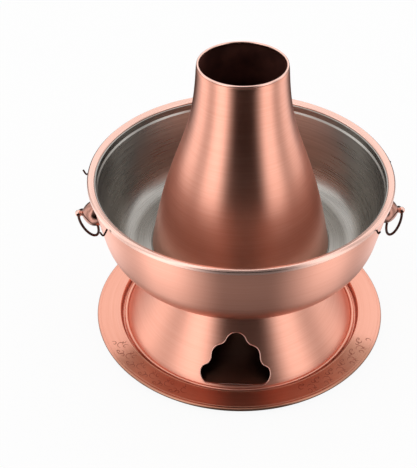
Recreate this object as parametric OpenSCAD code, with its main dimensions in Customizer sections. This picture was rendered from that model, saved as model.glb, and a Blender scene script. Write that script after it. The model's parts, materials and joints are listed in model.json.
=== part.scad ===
// Charcoal hot pot with a chimney, standing in its tray.
// Millimetres, +Z up. The origin is the centre of the tray's underside, on the
// chimney's axis. The air vent faces -Y and the two handles lie along X.

/* [Bowl] */
// Radius to the outside of the rim
rim_r = 160; // [159:0.5:161]
// Height of the rim above the table
rim_z = 194; // [192:0.5:196]
// Width of the sloped band on top of the rim
rim_band_w = 7.5; // [7:0.5:8]
// How far that band drops towards the pan
rim_band_drop = 3.2; // [2.8:0.2:3.4]
// Height of the pan floor's underside above the table
pan_floor_z = 104; // [103:0.5:105]

/* [Chimney] */
// Height of the chimney's mouth above the table
chimney_top_z = 322; // [310:0.5:330]
// Outside radius of the chimney just below its mouth
chimney_top_r = 45.8; // [45:0.2:48]
// Outside radius of the chimney at the pan floor
chimney_foot_r = 96; // [95:0.5:97]

/* [Pedestal] */
// Outside radius of the skirt at its foot
skirt_foot_r = 128.5; // [127:0.5:129]
// Outside radius of the skirt where it meets the bowl
skirt_neck_r = 78; // [77.5:0.5:79]
// Turn of the air vent away from straight ahead, in degrees
vent_turn = 4; // [0:0.25:5]

/* [Tray] */
// Outside radius of the tray
tray_r = 162.5; // [160:0.5:166]
// Radius of the inner edge of the tray's brim
brim_inner_r = 136; // [135.5:0.5:137]
// Height of the brim's upper face above the table
brim_z = 9.2; // [8:0.2:10]

/* [Handles] */
// Height of the handles' axis above the table
handle_z = 141.6; // [141.2:0.1:141.8]
// Radius from the chimney's axis to the hole in each handle's ball
eye_r = 173.4; // [173.2:0.2:174.2]
// Radius of the handle ring, to the middle of its wire
ring_r = 15.8; // [15.4:0.2:16.6]
// Lean of the left ring towards the bowl, in degrees from straight down
ring_lean_left = 38; // [0:1:45]
// Lean of the right ring towards the bowl, in degrees from straight down
ring_lean_right = 25; // [0:1:45]

/* [Sheet] */
// Thickness of the copper-coloured sheet
sheet = 1.2; // [1.1:0.1:1.3]

/* [Hidden] */

$fn = 96;

copper = [0.85, 0.52, 0.42];
dark_copper = [0.28, 0.17, 0.14];
steel = [0.70, 0.70, 0.71];
iron = [0.22, 0.22, 0.23];

// Space left between faces that only rest on each other
rest_gap = 0.3;
// Space round a rivet or stud in its hole
hole_gap = 0.1;

// ---- Curves ----------------------------------------------------------------

// The point at t on the cubic curve with the control points p
function curve_point(p, t) =
    pow(1 - t, 3) * p[0]
    + 3 * pow(1 - t, 2) * t * p[1]
    + 3 * (1 - t) * t * t * p[2]
    + pow(t, 3) * p[3];

// The direction of that curve at t, as a unit vector
function curve_direction(p, t) =
    let (
        d = pow(1 - t, 2) * (p[1] - p[0])
            + 2 * (1 - t) * t * (p[2] - p[1])
            + t * t * (p[3] - p[2])
    )
    d / norm(d);

// Points along the curve, moved sideways by d to the left of its direction
function curve(p, d, steps) = [
    for (i = [0:steps])
        let (
            t = i / steps,
            u = curve_direction(p, t)
        )
        curve_point(p, t) + d * [-u[1], u[0]]
];

function reversed(list) = [for (i = [len(list) - 1:-1:0]) list[i]];

// Points along an arc from angle a0 to angle a1
function arc(centre, r, a0, a1, steps) = [
    for (i = [0:steps])
        let (a = a0 + (a1 - a0) * i / steps)
        centre + r * [cos(a), sin(a)]
];

// The angle of the way from one point to another, from 0 to 360
function heading(from, to) =
    let (a = atan2(to[1] - from[1], to[0] - from[0]))
    a < 0 ? a + 360 : a;

// The centre of the circle of radius r that touches circle a (radius ra) and
// circle b (radius rb) from outside, to the right of the way from a to b
function fillet_centre(a, ra, b, rb, r) =
    let (
        way = b - a,
        length = norm(way),
        u = way / length,
        along = (pow(ra + r, 2) - pow(rb + r, 2) + length * length) / (2 * length),
        across = sqrt(pow(ra + r, 2) - along * along)
    )
    a + along * u + across * [u[1], -u[0]];

// ---- Profiles, as points of radius and height --------------------------------

wall_bottom = [147.5, 134.5];
wall_top = [rim_r - 1.7, rim_z - 7];
wall_slope = (wall_top[0] - wall_bottom[0]) / (wall_top[1] - wall_bottom[1]);
wall_tilt = atan(wall_slope);

// Outside radius of the bowl's straight wall at height z
function wall_r(z) = wall_bottom[0] + (z - wall_bottom[1]) * wall_slope;

bowl_bottom_z = 91.5;
bowl_flat_r = 80;
bowl_curve = [
    wall_bottom,
    [144, 118],
    [134, 102],
    [108, 95.5]
];
bowl_steps = 14;

double_wall = 6.5;
liner_sheet = 1;
liner_curve = [
    [wall_bottom[0] - sheet - double_wall, 132.5],
    [137.5, 118],
    [130, pan_floor_z],
    [112, pan_floor_z]
];
liner_wall_r = rim_r - rim_band_w - 0.2;
liner_step = 1.5;

chimney_curve = [
    [chimney_top_r, chimney_top_z - 6],
    [chimney_top_r + 5.2, chimney_top_z - 96.5],
    [chimney_foot_r - 22.6, chimney_top_z - 91.5],
    [chimney_foot_r, pan_floor_z + 2]
];
chimney_steps = 26;

skirt_foot_z = 3.4;
skirt_curve = [
    [skirt_foot_r, skirt_foot_z],
    [117, 17],
    [91, 50],
    [skirt_neck_r, bowl_bottom_z]
];
skirt_steps = 20;
neck_hole_r = 62;
flange_z = bowl_bottom_z - sheet;
// Where the skirt's inner face meets the underside of the flange at its neck
skirt_corner = [skirt_neck_r - 0.9, flange_z];

// ---- Tray ----------------------------------------------------------------------

tray_bead_r = 2;
well_r = brim_inner_r - 1.6;

module tray() color(copper) union() {
    rotate_extrude() polygon([
        [0, 0],
        [well_r, 0],
        [well_r + 1.3, 0.9],
        [brim_inner_r + sheet, brim_z - sheet - 0.8],
        [brim_inner_r + sheet + 1.2, brim_z - sheet],
        [tray_r - tray_bead_r, brim_z - sheet],
        [tray_r - tray_bead_r, brim_z],
        [brim_inner_r + 1.2, brim_z],
        [brim_inner_r, brim_z - 0.8],
        [well_r, 2],
        [well_r - 1, sheet],
        [0, sheet]
    ]);
    rotate_extrude()
        translate([tray_r - tray_bead_r, brim_z - tray_bead_r])
        circle(r = tray_bead_r, $fn = 32);
}

// ---- Pedestal -------------------------------------------------------------------

foot_bead_r = 2;
foot_bead_centre = [skirt_foot_r + 1.6, sheet + 0.2 + foot_bead_r];

// Half of the vent's outline: three round lobes with hollow fillets between
low_lobe = [29.5, 13.3];
low_lobe_r = 7.5;
mid_lobe = [13.8, 28.8];
mid_lobe_r = 11.9;
top_lobe = [0, 41.8];
top_lobe_r = 11;
low_fillet_r = 9.5;
mid_fillet_r = 10.4;
low_fillet = fillet_centre(low_lobe, low_lobe_r, mid_lobe, mid_lobe_r, low_fillet_r);
mid_fillet = fillet_centre(mid_lobe, mid_lobe_r, top_lobe, top_lobe_r, mid_fillet_r);
lobe_steps = 7;
fillet_steps = 5;

vent_half = concat(
    arc(low_lobe, low_lobe_r, -90, heading(low_lobe, low_fillet), lobe_steps),
    arc(low_fillet, low_fillet_r,
        heading(low_fillet, low_lobe), heading(low_fillet, mid_lobe), fillet_steps),
    arc(mid_lobe, mid_lobe_r,
        heading(mid_lobe, low_fillet), heading(mid_lobe, mid_fillet), lobe_steps),
    arc(mid_fillet, mid_fillet_r,
        heading(mid_fillet, mid_lobe), heading(mid_fillet, top_lobe), fillet_steps),
    arc(top_lobe, top_lobe_r, heading(top_lobe, mid_fillet), 90, lobe_steps)
);

module vent_outline() polygon(concat(
    vent_half,
    [for (p = reversed(vent_half)) [-p[0], p[1]]]
));

// The cut runs from inside the skirt's neck to beyond its foot
vent_cut_start = 60;
vent_cut_length = 90;

module vent_cut()
    rotate([0, 0, -vent_turn])
    translate([0, -vent_cut_start, 0])
    rotate([90, 0, 0])
    linear_extrude(height = vent_cut_length)
    vent_outline();

module pedestal() color(copper) difference() {
    rotate_extrude() polygon(concat(
        [
            [skirt_foot_r - sheet, skirt_foot_z - sheet],
            [skirt_foot_r, skirt_foot_z - sheet]
        ],
        curve(skirt_curve, 0, skirt_steps),
        [
            [neck_hole_r, bowl_bottom_z],
            [neck_hole_r, flange_z],
            skirt_corner
        ],
        reversed([
            for (p = curve(skirt_curve, sheet, skirt_steps))
                if (p[1] < flange_z - 0.5 && p[0] < skirt_foot_r - sheet) p
        ])
    ));
    vent_cut();
    rivet_holes();
}

module pedestal_foot_ring() color(copper)
    rotate_extrude()
    difference() {
        translate(foot_bead_centre)
            circle(r = foot_bead_r, $fn = 32);
        translate([skirt_foot_r - 10, 0])
            square([10, 10]);
    }

// ---- Joint between pedestal, bowl and fire sleeve ---------------------------------

rivet_count = 6;
rivet_circle_r = 69;
rivet_r = 2;
rivet_head_r = 3.6;
rivet_head_h = 1.8;
neck_ring_h = 3;
neck_ring_r = skirt_neck_r - 3.4;
neck_ring_z = flange_z - hole_gap - neck_ring_h;
sleeve_flange_z = bowl_bottom_z + sheet;
sleeve_sheet = 1.2;
joint_top_z = sleeve_flange_z + sleeve_sheet;

module on_rivet_circle()
    for (i = [0:rivet_count - 1])
        rotate([0, 0, (i + 0.5) * 360 / rivet_count])
        translate([rivet_circle_r, 0, 0])
        children();

module rivet_holes()
    on_rivet_circle()
    translate([0, 0, neck_ring_z - 5])
    cylinder(r = rivet_r + hole_gap, h = 20, $fn = 24);

module base_rivets() color(steel)
    on_rivet_circle()
    rotate_extrude($fn = 32) polygon([
        [0, neck_ring_z - hole_gap - rivet_head_h],
        [rivet_head_r - 1, neck_ring_z - hole_gap - rivet_head_h],
        [rivet_head_r, neck_ring_z - hole_gap - 0.8],
        [rivet_head_r, neck_ring_z - hole_gap],
        [rivet_r, neck_ring_z - hole_gap],
        [rivet_r, joint_top_z + hole_gap],
        [rivet_head_r, joint_top_z + hole_gap],
        [rivet_head_r, joint_top_z + hole_gap + 0.8],
        [rivet_head_r - 1, joint_top_z + hole_gap + rivet_head_h],
        [0, joint_top_z + hole_gap + rivet_head_h]
    ]);

module neck_ring() color(steel) difference() {
    translate([0, 0, neck_ring_z])
        cylinder(r = neck_ring_r, h = neck_ring_h);
    translate([0, 0, neck_ring_z - 1])
        cylinder(r = neck_hole_r + 1, h = neck_ring_h + 2);
    rivet_holes();
}

// ---- Bowl ----------------------------------------------------------------------------

shell_top_z = rim_z - 4.4;

module bowl_shell() color(copper) difference() {
    rotate_extrude() polygon(concat(
        [
            [wall_top[0], shell_top_z],
            wall_top
        ],
        curve(bowl_curve, 0, bowl_steps),
        [
            [bowl_flat_r, bowl_bottom_z],
            [neck_hole_r + 2, bowl_bottom_z],
            [neck_hole_r + 2, bowl_bottom_z + sheet],
            [bowl_flat_r, bowl_bottom_z + sheet]
        ],
        reversed(curve(bowl_curve, -sheet, bowl_steps)),
        [
            wall_top - [sheet, 0],
            [wall_top[0] - sheet, shell_top_z]
        ]
    ));
    rivet_holes();
    stud_holes();
    hook_holes();
}

liner_flange_top = [rim_r - 1.8, rim_z - 3.1];

module bowl_liner() color(steel)
    rotate_extrude() polygon(concat(
        [
            liner_flange_top,
            liner_flange_top - [0, liner_sheet],
            [liner_wall_r, rim_z - 5.3],
            [liner_wall_r, rim_z - 11],
            [liner_wall_r - liner_step, rim_z - 13]
        ],
        curve(liner_curve, 0, bowl_steps),
        [
            [chimney_foot_r + hole_gap, pan_floor_z],
            [chimney_foot_r + hole_gap, pan_floor_z + liner_sheet]
        ],
        reversed(curve(liner_curve, -liner_sheet, bowl_steps)),
        [
            [liner_wall_r - liner_step - liner_sheet, rim_z - 13],
            [liner_wall_r - liner_sheet, rim_z - 11],
            [liner_wall_r - liner_sheet, rim_z - 4.6],
            [liner_wall_r - 0.5, rim_z - 4.2]
        ]
    ));

module rim_ring() color(copper)
    rotate_extrude() polygon([
        [rim_r - 1.4, rim_z - 5.6],
        [rim_r - 0.5, rim_z - 5.6],
        [rim_r, rim_z - 5],
        [rim_r, rim_z - 1.8],
        [rim_r - 0.35, rim_z - 0.8],
        [rim_r - 1, rim_z - 0.2],
        [rim_r - 2, rim_z],
        [rim_r - 3.6, rim_z - 0.4],
        [rim_r - 5.4, rim_z - 1.3],
        [rim_r - rim_band_w + 0.4, rim_z - rim_band_drop + 0.6],
        [rim_r - rim_band_w, rim_z - rim_band_drop],
        [rim_r - rim_band_w, rim_z - 3.9],
        [rim_r - rim_band_w + 0.6, rim_z - 4],
        [rim_r - 5, rim_z - 3.3],
        [rim_r - 1.6, rim_z - 2.5],
        [rim_r - 1.4, rim_z - 3]
    ]);

// ---- Small wire hooks below the rim -----------------------------------------------------

// Where each hook stands round the bowl, in degrees, and how long it is
hook_angles = [-35, 10, 174, 212.5];
hook_sizes = [0.6, 0.7, 1.3, 1.2];
hook_wire_r = 0.95;
hook_bend_r = 1.02;
hook_head_r = 1.8;
hook_head_h = 0.9;
// Places along a hook's wire: distance out from the wall, and height along it
hook_inner_end = [-sheet - 1.1, -0.6];
hook_shoulder = [0.8, -0.6];
// The ways from the shoulder to the bottom and on to the tip, at size 1
hook_fall = [4.6, -3.8];
hook_rise = [1.8, 4.6];

// Stands children on the bowl's wall with x outwards and z up along the wall
module on_hook(i)
    rotate([0, 0, hook_angles[i]])
    translate([wall_top[0], 0, wall_top[1]])
    rotate([0, wall_tilt, 0])
    children();

module hook_holes()
    for (i = [0:len(hook_angles) - 1])
        on_hook(i)
        translate([-5, 0, hook_shoulder[1]])
        rotate([0, 90, 0])
        cylinder(r = hook_wire_r + hole_gap, h = 10, $fn = 24);

// A round wire from one place to another in the plane of x and z
module wire(from, to)
    translate([from[0], 0, from[1]])
    rotate([0, atan2(to[0] - from[0], to[1] - from[1]), 0])
    cylinder(r = hook_wire_r, h = norm(to - from), $fn = 24);

// The bends are a little fuller than the wire
module wire_bend(at)
    translate([at[0], 0, at[1]])
    sphere(r = hook_bend_r, $fn = 24);

module hook(bottom, tip) union() {
    translate([hook_inner_end[0], 0, hook_inner_end[1]])
        rotate([0, 90, 0])
        cylinder(r = hook_head_r, h = hook_head_h, $fn = 24);
    wire(hook_inner_end, hook_shoulder);
    wire_bend(hook_shoulder);
    wire(hook_shoulder, bottom);
    wire_bend(bottom);
    wire(bottom, tip);
    wire_bend(tip);
}

module rim_hooks() color(dark_copper)
    for (i = [0:len(hook_angles) - 1])
        let (
            bottom = hook_shoulder + hook_sizes[i] * hook_fall,
            tip = bottom + hook_sizes[i] * hook_rise
        )
        on_hook(i)
        hook(bottom, tip);

// ---- Chimney and fire chamber --------------------------------------------------------------

lip_r = 1.2;
lip_centre = [chimney_top_r - 1.8, chimney_top_z - lip_r];
// The tube's last few millimetres turn in a little, up to the lip
mouth_outer = [
    [chimney_top_r - 1, chimney_top_z - 2 * lip_r],
    [chimney_top_r - 0.5, chimney_top_z - 3.2],
    [chimney_top_r - 0.15, chimney_top_z - 4.4]
];
mouth_inner = [
    [chimney_top_r - 1.4, chimney_top_z - 4.2],
    [chimney_top_r - 1.9, chimney_top_z - 3],
    [chimney_top_r - 2.2, chimney_top_z - 2 * lip_r]
];

module chimney() color(copper)
    rotate_extrude() polygon(concat(
        mouth_outer,
        curve(chimney_curve, 0, chimney_steps),
        [
            [chimney_foot_r, pan_floor_z],
            [chimney_foot_r - sheet, pan_floor_z]
        ],
        reversed(curve(chimney_curve, -sheet, chimney_steps)),
        mouth_inner
    ));

module chimney_lip_ring() color(copper)
    rotate_extrude()
    translate(lip_centre)
    circle(r = lip_r, $fn = 32);

sleeve_top_r = chimney_foot_r - sheet - 0.2;
sleeve_flange_r = 77;
// The collar at the sleeve's top narrows upwards, as the chimney's foot does
sleeve_collar_h = 7;
sleeve_collar_taper = 1.1;

module fire_sleeve() color(steel) difference() {
    rotate_extrude() polygon([
        [neck_hole_r + 2, sleeve_flange_z],
        [sleeve_flange_r, sleeve_flange_z],
        [sleeve_top_r, pan_floor_z - 0.6],
        [sleeve_top_r, pan_floor_z + 1],
        [sleeve_top_r - sleeve_collar_taper, pan_floor_z + sleeve_collar_h],
        [sleeve_top_r - sleeve_collar_taper - sleeve_sheet, pan_floor_z + sleeve_collar_h],
        [sleeve_top_r - sleeve_sheet, pan_floor_z + 0.2],
        [sleeve_flange_r, sleeve_flange_z + 1.4],
        [sleeve_flange_r - 1, joint_top_z],
        [neck_hole_r + 2, joint_top_z]
    ]);
    rivet_holes();
}

// Three brackets bent from strip: a foot on the sleeve, a riser and a shelf
lug_count = 3;
lug_w = 12;
lug_sheet = 1.5;
lug_foot_r = 75;
lug_riser_r = 65;
lug_shelf_r = 52;
lug_shelf_z = joint_top_z + 2.8;
grate_r = 60;
grate_h = 6;

module grate_lugs() color(steel)
    for (i = [0:lug_count - 1])
        rotate([0, 0, i * 360 / lug_count])
        translate([0, lug_w / 2, 0])
        rotate([90, 0, 0])
        linear_extrude(height = lug_w)
        polygon([
            [lug_foot_r, joint_top_z],
            [lug_foot_r, joint_top_z + lug_sheet],
            [lug_riser_r + lug_sheet, joint_top_z + lug_sheet],
            [lug_riser_r + lug_sheet, lug_shelf_z + lug_sheet],
            [lug_shelf_r, lug_shelf_z + lug_sheet],
            [lug_shelf_r, lug_shelf_z],
            [lug_riser_r, lug_shelf_z],
            [lug_riser_r, joint_top_z]
        ]);

slot_w = 6.5;
slot_pitch = 12;
slot_count = 9;
slot_reach = 53;
crossbar_w = 8;

module grate() color(iron)
    translate([0, 0, lug_shelf_z + lug_sheet + rest_gap])
    difference() {
        cylinder(r = grate_r, h = grate_h);
        for (i = [0:slot_count - 1])
            let (
                x = (i - (slot_count - 1) / 2) * slot_pitch,
                half = sqrt(slot_reach * slot_reach - pow(abs(x) + slot_w / 2, 2))
            )
            for (side = [0, 1])
                mirror([0, side, 0])
                translate([x - slot_w / 2, crossbar_w / 2, -1])
                cube([slot_w, max(half - crossbar_w / 2, 1), grate_h + 2]);
    }

// ---- Handles -----------------------------------------------------------------------------------

stud_r = 2;
ball_r = 3.7;
wire_r = 1.4;
// The wire curves inside the ball, so the hole is wider than the wire
eye_hole_r = 2.1;
boss_wall = 1;
boss_tip_wall = 1.4;
boss_reach = 20.4;

// Half outline of the dome: distance out from the wall, and radius
boss_outline = [
    [-6, 12.3],
    [0, 12.7],
    [3, 13.4],
    [6.5, 13.7],
    [9.8, 13.4],
    [13, 12],
    [16, 9.6],
    [18.4, 6.7],
    [19.8, 4.3],
    [boss_reach, 2.6]
];

// Puts children, drawn on a +X axis that starts at the bowl's wall, on one side
module on_side(side)
    mirror([side < 0 ? 1 : 0, 0, 0])
    translate([0, 0, handle_z])
    children();

// What the domes stop at: the bowl's wall and all inside it, on down past them
wall_solid_z = wall_bottom[1] - 14;

module wall_solid()
    translate([0, 0, -handle_z])
    rotate_extrude() polygon([
        [0, wall_solid_z],
        [wall_r(wall_solid_z) + hole_gap, wall_solid_z],
        [wall_r(rim_z) + hole_gap, rim_z],
        [0, rim_z]
    ]);

module boss(side) color(copper)
    on_side(side)
    difference() {
        translate([wall_r(handle_z), 0, 0])
            rotate([0, 90, 0])
            rotate_extrude() polygon(concat(
                [for (p = boss_outline) [p[1], p[0]]],
                [[stud_r + hole_gap, boss_reach]],
                [[stud_r + hole_gap, boss_reach - boss_tip_wall]],
                [for (i = [len(boss_outline) - 3:-1:0])
                    [boss_outline[i][1] - boss_wall, boss_outline[i][0] - 0.7]]
            ));
        wall_solid();
    }

module handle_boss_left() boss(-1);
module handle_boss_right() boss(1);

stud_start = wall_r(handle_z) - 5.8;
collar_start = wall_r(handle_z) + boss_reach + hole_gap;

module eye(side) color(copper)
    on_side(side)
    difference() {
        union() {
            rotate([0, 90, 0])
                rotate_extrude($fn = 48) polygon([
                    [0, stud_start],
                    [stud_r, stud_start],
                    [stud_r, collar_start],
                    [3, collar_start],
                    [3.2, collar_start + 0.4],
                    [2.8, collar_start + 0.8],
                    [2, collar_start + 1],
                    [2, eye_r - 2],
                    [0, eye_r - 2]
                ]);
            translate([eye_r, 0, 0])
                sphere(r = ball_r, $fn = 48);
        }
        translate([eye_r, 10, 0])
            rotate([90, 0, 0])
            cylinder(r = eye_hole_r, h = 20, $fn = 48);
    }

module handle_eye_left() eye(-1);
module handle_eye_right() eye(1);

// The holes for the handles' studs, right across the bowl
module stud_holes()
    for (side = [-1, 1])
        on_side(side)
        translate([wall_bottom[0] - 12, 0, 0])
        rotate([0, 90, 0])
        cylinder(r = stud_r + hole_gap, h = 20, $fn = 48);

// Radius from the chimney's axis to the washer's outer face
washer_out_r = 146.4;
washer_r = 5.5;
washer_h = 1;
nut_r = 4.2;
nut_h = 2;

module handle_washers() color(steel)
    for (side = [-1, 1])
        on_side(side)
        translate([washer_out_r - washer_h, 0, 0])
        rotate([0, 90, 0])
        difference() {
            cylinder(r = washer_r, h = washer_h, $fn = 48);
            translate([0, 0, -1])
                cylinder(r = stud_r + hole_gap, h = washer_h + 2, $fn = 48);
        }

module handle_nuts() color(steel)
    for (side = [-1, 1])
        on_side(side)
        translate([washer_out_r - washer_h - hole_gap - nut_h, 0, 0])
        rotate([0, 90, 0])
        difference() {
            cylinder(r = nut_r, h = nut_h, $fn = 6);
            translate([0, 0, -1])
                cylinder(r = stud_r + hole_gap / 2, h = nut_h + 2, $fn = 48);
        }

// The ring's plane holds the Y direction and leans in towards the bowl
module wire_ring(side, lean) color(dark_copper)
    on_side(side)
    translate([eye_r, 0, 0])
    rotate([0, 90 + lean, 0])
    translate([ring_r, 0, 0])
    rotate_extrude()
    translate([ring_r, 0])
    circle(r = wire_r, $fn = 32);

module handle_ring_left() wire_ring(-1, ring_lean_left);
module handle_ring_right() wire_ring(1, ring_lean_right);

tray();
pedestal();
pedestal_foot_ring();
neck_ring();
base_rivets();
bowl_shell();
bowl_liner();
rim_ring();
rim_hooks();
chimney();
chimney_lip_ring();
fire_sleeve();
grate_lugs();
grate();
handle_boss_left();
handle_boss_right();
handle_eye_left();
handle_eye_right();
handle_washers();
handle_nuts();
handle_ring_left();
handle_ring_right();
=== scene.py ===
"""The looks of a charcoal hot pot with a chimney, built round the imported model.

Lengths in the tables of sizes are millimetres, as in the part's source, and
MM turns them into Blender's metres. Heights are above the table, radii are
from the chimney's axis.
"""

import json
import math

import bmesh
import bpy
from mathutils import Matrix, Vector


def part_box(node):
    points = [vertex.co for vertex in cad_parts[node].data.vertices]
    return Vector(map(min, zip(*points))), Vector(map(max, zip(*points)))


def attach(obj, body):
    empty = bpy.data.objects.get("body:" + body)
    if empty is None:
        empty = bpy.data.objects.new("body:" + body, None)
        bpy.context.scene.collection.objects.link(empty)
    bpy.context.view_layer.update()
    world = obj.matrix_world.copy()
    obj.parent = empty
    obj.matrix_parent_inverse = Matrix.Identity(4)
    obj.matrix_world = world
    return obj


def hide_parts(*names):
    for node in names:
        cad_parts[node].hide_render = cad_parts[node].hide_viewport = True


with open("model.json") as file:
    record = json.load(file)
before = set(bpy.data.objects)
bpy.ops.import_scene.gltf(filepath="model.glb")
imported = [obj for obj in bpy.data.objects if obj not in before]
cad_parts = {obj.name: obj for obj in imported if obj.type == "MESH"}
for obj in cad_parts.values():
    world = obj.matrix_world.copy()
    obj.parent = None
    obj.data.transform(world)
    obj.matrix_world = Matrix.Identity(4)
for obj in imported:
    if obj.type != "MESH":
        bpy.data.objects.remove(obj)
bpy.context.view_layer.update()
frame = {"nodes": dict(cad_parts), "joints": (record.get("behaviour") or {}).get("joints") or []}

MM = 0.001

# ---- Sizes, from the frame where it holds them ------------------------------


def mm(value):
    return value / MM


RIM_R = mm(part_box("rim_ring")[1].x)
RIM_Z = mm(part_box("rim_ring")[1].z)
RIM_LOW_Z = mm(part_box("rim_ring")[0].z)
TRAY_R = mm(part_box("tray")[1].x)
BRIM_Z = mm(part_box("tray")[1].z)
BOWL_LOW_Z = mm(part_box("bowl_shell")[0].z)
SHELL_TOP_Z = mm(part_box("bowl_shell")[1].z)
SKIRT_FOOT_R = mm(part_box("pedestal")[1].x)
MOUTH_Z = mm(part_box("chimney_lip_ring")[1].z)
CHIMNEY_FOOT_R = mm(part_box("chimney")[1].x)
PAN_FLOOR_Z = mm(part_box("chimney")[0].z)
BEAD_R = mm(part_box("pedestal_foot_ring")[1].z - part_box("pedestal_foot_ring")[0].z) / 2
BEAD_CENTRE = (
    mm(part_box("pedestal_foot_ring")[1].x) - BEAD_R,
    mm(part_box("pedestal_foot_ring")[0].z) + BEAD_R,
)
RING_JOINTS = {j["child"]: j for j in frame["joints"] if j["type"] == "hinge"}
EYE = [mm(x) for x in RING_JOINTS["ring_right"]["pos_m"]]

SHEET = 1.2
BRIM_INNER_R = 136
RIM_BAND_W = 7.5
RIM_BAND_DROP = 3.2
CHIMNEY_TOP_R = 45.8
SKIRT_NECK_R = 78
NECK_HOLE_R = 62
VENT_TURN = math.radians(4)
RING_R = 15.8
WIRE_R = 1.4
RING_STEPS = 96
# How far the rings' lowest points swing in, under the balls
RING_LEAN = {"left": math.radians(38), "right": math.radians(25)}

AROUND = 288  # divisions round the big turned pieces


# ---- Outlines ---------------------------------------------------------------


def bezier(p, t):
    """The point at t on the cubic curve with the control points p."""
    u = 1 - t
    weights = (u**3, 3 * u * u * t, 3 * u * t * t, t**3)
    return tuple(sum(weights[i] * p[i][axis] for i in range(4)) for axis in (0, 1))


NUDGE = 1e-4  # how far along a curve its direction is measured


def curve(p, shift=0.0, steps=40):
    """Points along the curve, moved to the left of its direction by shift."""
    points = []
    for i in range(steps + 1):
        t = i / steps
        x, y = bezier(p, t)
        x0, y0 = bezier(p, max(t - NUDGE, 0))
        x1, y1 = bezier(p, min(t + NUDGE, 1))
        length = math.hypot(x1 - x0, y1 - y0)
        x -= shift * (y1 - y0) / length
        y += shift * (x1 - x0) / length
        points.append((x, y))
    return points


def arc(centre, radius, start, end, steps=10):
    """Points along an arc, with angles in degrees."""
    points = []
    for i in range(steps + 1):
        a = math.radians(start + (end - start) * i / steps)
        x = centre[0] + radius * math.cos(a)
        points.append((x, centre[1] + radius * math.sin(a)))
    return points


# How much of an edge the rounding of one corner may take up
MOST_REACH = 0.49


def rounded(corners, steps=5):
    """An outline through corners (x, y, radius), each turned into an arc."""
    points = []
    n = len(corners)
    for i, (x, y, radius) in enumerate(corners):
        here = Vector((x, y))
        before = Vector(corners[i - 1][:2]) - here
        after = Vector(corners[(i + 1) % n][:2]) - here
        turn = math.pi - before.angle(after)
        reach = radius * math.tan(turn / 2)
        reach = min(reach, MOST_REACH * before.length, MOST_REACH * after.length)
        if radius <= 0 or reach < 1e-4:
            points.append((x, y))
            continue
        a = here + before.normalized() * reach
        b = here + after.normalized() * reach
        for k in range(steps + 1):
            t = k / steps
            p = a * (1 - t) ** 2 + here * 2 * t * (1 - t) + b * t * t
            points.append((p.x, p.y))
    return points


# ---- Meshes -----------------------------------------------------------------

SHARP = math.radians(35)  # edges that turn further than this stay sharp


def link_object(name, mesh, materials=()):
    """An object of the mesh, in the scene."""
    for m in materials:
        mesh.materials.append(m)
    o = bpy.data.objects.new(name, mesh)
    bpy.context.scene.collection.objects.link(o)
    return o


def add_object(name, mesh, body, materials):
    """An object of the mesh that rides on a body, with the materials given."""
    o = link_object(name, mesh, materials)
    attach(o, body)
    return o


def finish_mesh(bm, name, sharp=SHARP):
    """The mesh of bm, shaded smooth between its sharp edges."""
    bmesh.ops.recalc_face_normals(bm, faces=bm.faces)
    mesh = bpy.data.meshes.new(name)
    bm.to_mesh(mesh)
    bm.free()
    mesh.shade_smooth()
    mesh.set_sharp_from_angle(angle=sharp)
    return mesh


def turned(outline, around=AROUND, closed=True):
    """A bmesh of the outline (radius, height) turned round Z, in metres."""
    bm = bmesh.new()
    rings = []
    for r, z in outline:
        if r < 1e-6:
            # On the axis all of the ring is one vertex
            rings.append([bm.verts.new((0, 0, z * MM))] * around)
            continue
        ring = []
        for i in range(around):
            a = 2 * math.pi * i / around
            place = (r * math.cos(a) * MM, r * math.sin(a) * MM, z * MM)
            ring.append(bm.verts.new(place))
        rings.append(ring)
    last = len(rings) if closed else len(rings) - 1
    for k in range(last):
        low, high = rings[k], rings[(k + 1) % len(rings)]
        for i in range(around):
            j = (i + 1) % around
            corners = []
            for v in (low[i], low[j], high[j], high[i]):
                if v not in corners:
                    corners.append(v)
            if len(corners) > 2:
                bm.faces.new(corners)
    return bm


# A face looks inwards, or down, if its normal's share outwards, or upwards, is
# less than this
INWARD = -0.25
DOWNWARD = -0.9


def mark_inside(bm):
    """Gives faces that look towards the axis the second material."""
    bm.normal_update()
    for f in bm.faces:
        c = f.calc_center_median()
        r = math.hypot(c.x, c.y)
        if r > 0 and (f.normal.x * c.x + f.normal.y * c.y) / r < INWARD:
            f.material_index = 1


TIP_REACH = 0.6  # how far a wire's end stands out, in radii


def tube(points, radius, sides=24, closed=False):
    """A bmesh of a round wire along points in metres, with blunt ends."""
    bm = bmesh.new()
    rings = []
    n = len(points)
    across = None
    for i, p in enumerate(points):
        after = points[(i + 1) % n] if closed or i < n - 1 else p
        before = points[i - 1] if closed or i > 0 else p
        along = (after - before).normalized()
        if across is None:
            across = along.orthogonal().normalized()
        across = (across - along * across.dot(along)).normalized()
        side = along.cross(across)
        ring = []
        for k in range(sides):
            a = 2 * math.pi * k / sides
            out = math.cos(a) * across + math.sin(a) * side
            ring.append(bm.verts.new(p + radius * out))
        rings.append(ring)
    for i in range(n if closed else n - 1):
        low, high = rings[i], rings[(i + 1) % n]
        for k in range(sides):
            j = (k + 1) % sides
            bm.faces.new((low[k], low[j], high[j], high[k]))
    if not closed:
        for end, beside in ((0, 1), (-1, -2)):
            ring, p, q = rings[end], points[end], points[beside]
            tip = bm.verts.new(p + (p - q).normalized() * radius * TIP_REACH)
            for k in range(sides):
                bm.faces.new((ring[k], ring[(k + 1) % sides], tip))
    return bm


# ---- Materials --------------------------------------------------------------


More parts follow.
